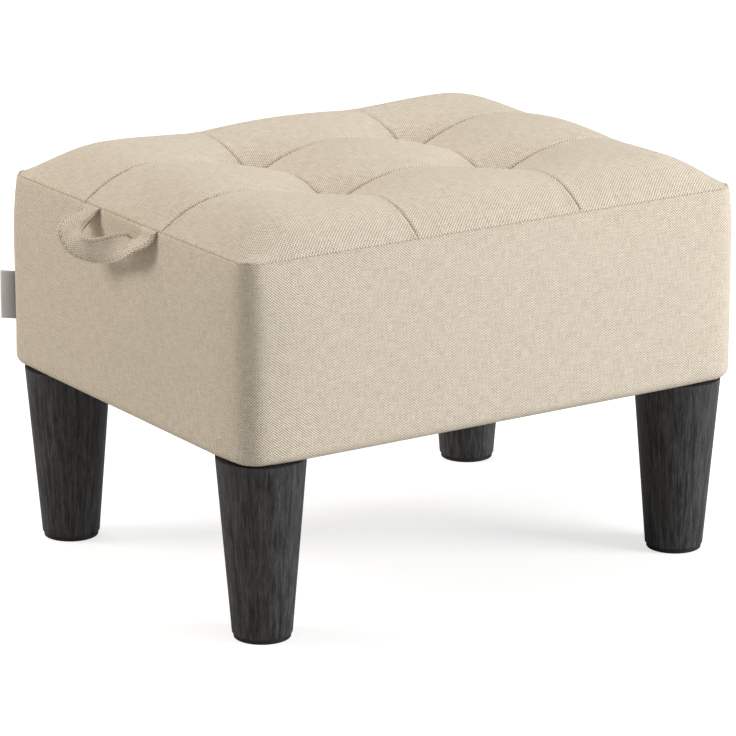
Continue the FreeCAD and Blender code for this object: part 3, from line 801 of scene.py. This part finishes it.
padding_low, padding_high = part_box("side_padding")
padding_depth = 0.0065
padding_thickness = 0.005
padding_top_thickness = 0.0042
padding_steps = 240
padding_inner = corner_radius - padding_depth
padding_section = (
    (padding_inner, padding_low[2]),
    (padding_inner + padding_thickness, padding_low[2]),
    (padding_inner + padding_thickness, draw_start_z),
    (padding_inner + padding_top_thickness, padding_high[2]),
    (padding_inner, padding_high[2]),
    (padding_inner, padding_low[2]),
)


def place_on_padding(distance, level):
    (x, y), facing = rim_place(distance)
    s, z = padding_section[level]
    if s > padding_inner:
        s -= corner_ease(distance)
    return Vector((centre_x + x + s * cos(facing), y + s * sin(facing), z)), (distance, z)


padding_stations = [rim_length * step / padding_steps for step in range(padding_steps + 1)]
padding_maker = placed_grid(padding_stations, list(range(len(padding_section))), place_on_padding)
bmesh.ops.remove_doubles(padding_maker, verts=padding_maker.verts, dist=0.00001)
bmesh.ops.recalc_face_normals(padding_maker, faces=padding_maker.faces)
padding_strip = make_object("padding_strip", padding_maker)
padding_strip.data.materials.append(foam_material)
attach(padding_strip, "stool")
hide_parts("side_padding")


# Dust cover
# Black nonwoven sheet stapled under the box, a little slack between its staples.
dust_low, dust_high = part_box("dust_cover")
dust_half_x = (dust_high[0] - dust_low[0]) / 2
dust_half_y = dust_high[1]
dust_inset = 0.014
dust_radius = corner_radius - dust_inset
dust_slack_depth = 0.0006
dust_slack_scale = 18
dust_slack_margin = 0.05
dust_thickness = 0.0003
dust_dark = (0.012, 0.012, 0.013, 1)
dust_light = (0.040, 0.040, 0.042, 1)
bolt_hole = 0.0055

dust_material, tree = new_material("black_nonwoven")
dust_place = add_node(tree, "ShaderNodeTexCoord").outputs["Object"]
fibres = add_node(tree, "ShaderNodeTexNoise", {"Vector": dust_place, "Scale": 700.0, "Detail": 4.0})
points = add_node(tree, "ShaderNodeTexVoronoi", {"Vector": dust_place, "Scale": 420.0})
dust_tint = add_node(tree, "ShaderNodeMix", {
    "Factor": fibres.outputs["Fac"], "A": dust_dark, "B": dust_light}, data_type="RGBA")
dust_bump = add_node(tree, "ShaderNodeBump", {
    "Strength": 0.5, "Distance": 0.0002, "Height": points.outputs["Distance"]})
dust_shader = add_node(tree, "ShaderNodeBsdfPrincipled", {
    "Base Color": dust_tint.outputs["Result"], "Roughness": 0.85, "Normal": dust_bump.outputs[0]})
give_shader(tree, dust_shader.outputs[0])


def place_on_dust_cover(column, row):
    x, y = into_rounded_plan(column, row, dust_half_x, dust_half_y, dust_radius)
    free = min(dust_half_x - abs(x), dust_half_y - abs(y))
    ripple = noise.noise(Vector((x * dust_slack_scale, y * dust_slack_scale, 0.0)))
    slack = dust_slack_depth * min(free / dust_slack_margin, 1.0) * (0.5 + ripple)
    return Vector((centre_x + x, y, dust_high[2] - 0.0001 - max(slack, 0.0) * 0.3)), (x, y)


dust_columns = [(-1 + step / 46) * dust_half_x for step in range(93)]
dust_rows = [(-1 + step / 36) * dust_half_y for step in range(73)]
dust_maker = placed_grid(dust_columns, dust_rows, place_on_dust_cover)
leg_middles = []
for leg in ("front_left", "front_right", "back_left", "back_right"):
    leg_low, leg_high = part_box(f"leg_{leg}")
    leg_middles.append(((leg_low[0] + leg_high[0]) / 2, (leg_low[1] + leg_high[1]) / 2))
covered = []
for face in dust_maker.faces:
    middle = face.calc_center_median()
    if any(sqrt((middle.x - x) ** 2 + (middle.y - y) ** 2) < bolt_hole for x, y in leg_middles):
        covered.append(face)
bmesh.ops.delete(dust_maker, geom=covered, context="FACES")
bmesh.ops.reverse_faces(dust_maker, faces=dust_maker.faces)
dust_sheet = make_object("dust_sheet", dust_maker)
add_thickness(dust_sheet, dust_thickness)
dust_sheet.data.materials.append(dust_material)
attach(dust_sheet, "stool")
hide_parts("dust_cover")


# Legs and glides
# Turned tapered legs of open-grained wood, stained charcoal black, on black plastic glides.
leg_dark = (0.009, 0.009, 0.009, 1)
leg_pore = (0.105, 0.105, 0.107, 1)
glide_dark = (0.006, 0.006, 0.006, 1)
glide_light = (0.016, 0.016, 0.016, 1)

nodes = frame["nodes"]
record_slots = {part["node"]: part["material_slot"] for part in frame["record"]["subparts"]}


def give_cad_material(material, slots):
    for name, node in nodes.items():
        if record_slots[name] in slots:
            node.data.materials.clear()
            node.data.materials.append(material)


leg_material, tree = new_material("charcoal_stained_wood")
wood_place = add_node(tree, "ShaderNodeTexCoord").outputs["Object"]
grain_place = add_node(tree, "ShaderNodeMapping", {"Vector": wood_place, "Scale": (1700.0, 1700.0, 46.0)})
grain = add_node(tree, "ShaderNodeTexNoise", {
    "Vector": grain_place.outputs[0], "Scale": 1.0, "Detail": 4.0, "Roughness": 0.65, "Distortion": 0.3})
ring_place = add_node(tree, "ShaderNodeMapping", {"Vector": wood_place, "Scale": (420.0, 420.0, 16.0)})
rings = add_node(tree, "ShaderNodeTexNoise", {
    "Vector": ring_place.outputs[0], "Scale": 1.0, "Detail": 3.0, "Distortion": 0.6})
figure = math(tree, "MULTIPLY", grain.outputs["Fac"], rings.outputs["Fac"])
pores = add_node(tree, "ShaderNodeMapRange", {
    "Value": figure, "From Min": 0.13, "From Max": 0.44, "To Min": 0.0, "To Max": 1.0})
leg_tint = add_node(tree, "ShaderNodeMix", {
    "Factor": pores.outputs[0], "A": leg_dark, "B": leg_pore}, data_type="RGBA")
leg_bump = add_node(tree, "ShaderNodeBump", {
    "Strength": 0.5, "Distance": 0.0003, "Height": grain.outputs["Fac"]})
leg_shader = add_node(tree, "ShaderNodeBsdfPrincipled", {
    "Base Color": leg_tint.outputs["Result"], "Roughness": 0.5, "Normal": leg_bump.outputs[0],
    "Specular IOR Level": 0.3})
give_shader(tree, leg_shader.outputs[0])
give_cad_material(leg_material, ("leg_wood",))

glide_material, tree = new_material("black_moulded_plastic")
glide_place = add_node(tree, "ShaderNodeTexCoord").outputs["Object"]
glide_noise = add_node(tree, "ShaderNodeTexNoise", {"Vector": glide_place, "Scale": 1400.0, "Detail": 2.0})
glide_tint = add_node(tree, "ShaderNodeMix", {
    "Factor": glide_noise.outputs["Fac"], "A": glide_dark, "B": glide_light}, data_type="RGBA")
glide_bump = add_node(tree, "ShaderNodeBump", {
    "Strength": 0.2, "Distance": 0.0001, "Height": glide_noise.outputs["Fac"]})
glide_shader = add_node(tree, "ShaderNodeBsdfPrincipled", {
    "Base Color": glide_tint.outputs["Result"], "Roughness": 0.5, "Normal": glide_bump.outputs[0]})
give_shader(tree, glide_shader.outputs[0])
give_cad_material(glide_material, ("glide_plastic",))


# Wooden box, fixings and ties
# Plywood walls and softwood posts, zinc plated steel, moulded anchors and waxed twine.
def wood_material(name, light, dark, scale):
    material, tree = new_material(name)
    place = add_node(tree, "ShaderNodeTexCoord").outputs["Object"]
    stretched = add_node(tree, "ShaderNodeMapping", {"Vector": place, "Scale": scale})
    figure = add_node(tree, "ShaderNodeTexNoise", {
        "Vector": stretched.outputs[0], "Scale": 1.0, "Detail": 4.0, "Distortion": 0.8})
    tint = add_node(tree, "ShaderNodeMix", {
        "Factor": figure.outputs["Fac"], "A": dark, "B": light}, data_type="RGBA")
    bump = add_node(tree, "ShaderNodeBump", {
        "Strength": 0.3, "Distance": 0.0002, "Height": figure.outputs["Fac"]})
    shader = add_node(tree, "ShaderNodeBsdfPrincipled", {
        "Base Color": tint.outputs["Result"], "Roughness": 0.7, "Normal": bump.outputs[0]})
    give_shader(tree, shader.outputs[0])
    return material


plywood = wood_material("plywood", (0.78, 0.62, 0.42, 1), (0.52, 0.37, 0.22, 1), (12.0, 260.0, 500.0))
give_cad_material(plywood, ("plywood",))
softwood = wood_material("softwood", (0.84, 0.70, 0.48, 1), (0.62, 0.45, 0.26, 1), (260.0, 260.0, 14.0))
give_cad_material(softwood, ("softwood",))


def plain_material(name, light, dark, noise_scale, roughness, metallic):
    material, tree = new_material(name)
    place = add_node(tree, "ShaderNodeTexCoord").outputs["Object"]
    grain = add_node(tree, "ShaderNodeTexNoise", {"Vector": place, "Scale": noise_scale, "Detail": 3.0})
    tint = add_node(tree, "ShaderNodeMix", {
        "Factor": grain.outputs["Fac"], "A": dark, "B": light}, data_type="RGBA")
    bump = add_node(tree, "ShaderNodeBump", {
        "Strength": 0.25, "Distance": 0.0001, "Height": grain.outputs["Fac"]})
    shader = add_node(tree, "ShaderNodeBsdfPrincipled", {
        "Base Color": tint.outputs["Result"], "Roughness": roughness, "Metallic": metallic,
        "Normal": bump.outputs[0]})
    give_shader(tree, shader.outputs[0])
    return material


zinc = plain_material("zinc_plate", (0.66, 0.66, 0.68, 1), (0.48, 0.48, 0.50, 1), 600.0, 0.35, 1.0)
give_cad_material(zinc, ("zinc_steel",))
anchor = plain_material("moulded_anchor", (0.86, 0.84, 0.79, 1), (0.76, 0.74, 0.69, 1), 300.0, 0.5, 0.0)
give_cad_material(anchor, ("button_plastic",))
twine = plain_material("waxed_twine", (0.76, 0.70, 0.58, 1), (0.56, 0.49, 0.37, 1), 1500.0, 0.8, 0.0)
give_cad_material(twine, ("twine",))
